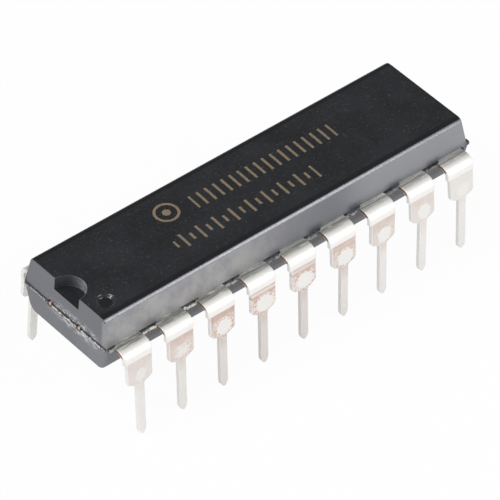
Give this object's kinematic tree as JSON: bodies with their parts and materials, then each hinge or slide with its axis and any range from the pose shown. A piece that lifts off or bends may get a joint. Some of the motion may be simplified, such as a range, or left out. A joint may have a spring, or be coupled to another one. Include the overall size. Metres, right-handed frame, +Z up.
{
  "type": "dip integrated circuit chip",
  "caption": "Dual in-line integrated circuit: a black moulded body with an index notch and two rows of bent plated leads for through-hole boards.",
  "frame": {"origin": "centre of the package in plan, on the plane of the lead tips", "axes": "+X along the body, away from the notch end; +Y from the row of pins 1 to 9 to the row of pins 10 to 18; +Z up through the top face"},
  "size_m": [0.023, 0.0086, 0.007],
  "materials": {
    "mould_compound": "fine matte, spark eroded mould",
    "tin_plated_lead": "bright tin plating, thin and coppery on the legs",
    "lead_frame_copper": "bare sheared copper alloy",
    "silver_epoxy": "dull cured adhesive",
    "silicon": "polished",
    "gold_wire": "drawn gold"
  },
  "bodies": {
    "root": {"moulded_body": "mould_compound", "die_pad": "lead_frame_copper", "die_attach": "silver_epoxy", "die": "silicon", "lead_01": "tin_plated_lead", "lead_02": "tin_plated_lead", "lead_03": "tin_plated_lead", "lead_04": "tin_plated_lead", "lead_05": "tin_plated_lead", "lead_06": "tin_plated_lead", "lead_07": "tin_plated_lead", "lead_08": "tin_plated_lead", "lead_09": "tin_plated_lead", "lead_10": "tin_plated_lead", "lead_11": "tin_plated_lead", "lead_12": "tin_plated_lead", "lead_13": "tin_plated_lead", "lead_14": "tin_plated_lead", "lead_15": "tin_plated_lead", "lead_16": "tin_plated_lead", "lead_17": "tin_plated_lead", "lead_18": "tin_plated_lead", "bond_wire_01": "gold_wire", "bond_wire_02": "gold_wire", "bond_wire_03": "gold_wire", "bond_wire_04": "gold_wire", "bond_wire_05": "gold_wire", "bond_wire_06": "gold_wire", "bond_wire_07": "gold_wire", "bond_wire_08": "gold_wire", "bond_wire_09": "gold_wire", "bond_wire_10": "gold_wire", "bond_wire_11": "gold_wire", "bond_wire_12": "gold_wire", "bond_wire_13": "gold_wire", "bond_wire_14": "gold_wire", "bond_wire_15": "gold_wire", "bond_wire_16": "gold_wire", "bond_wire_17": "gold_wire", "bond_wire_18": "gold_wire"}
  },
  "joints": []
}
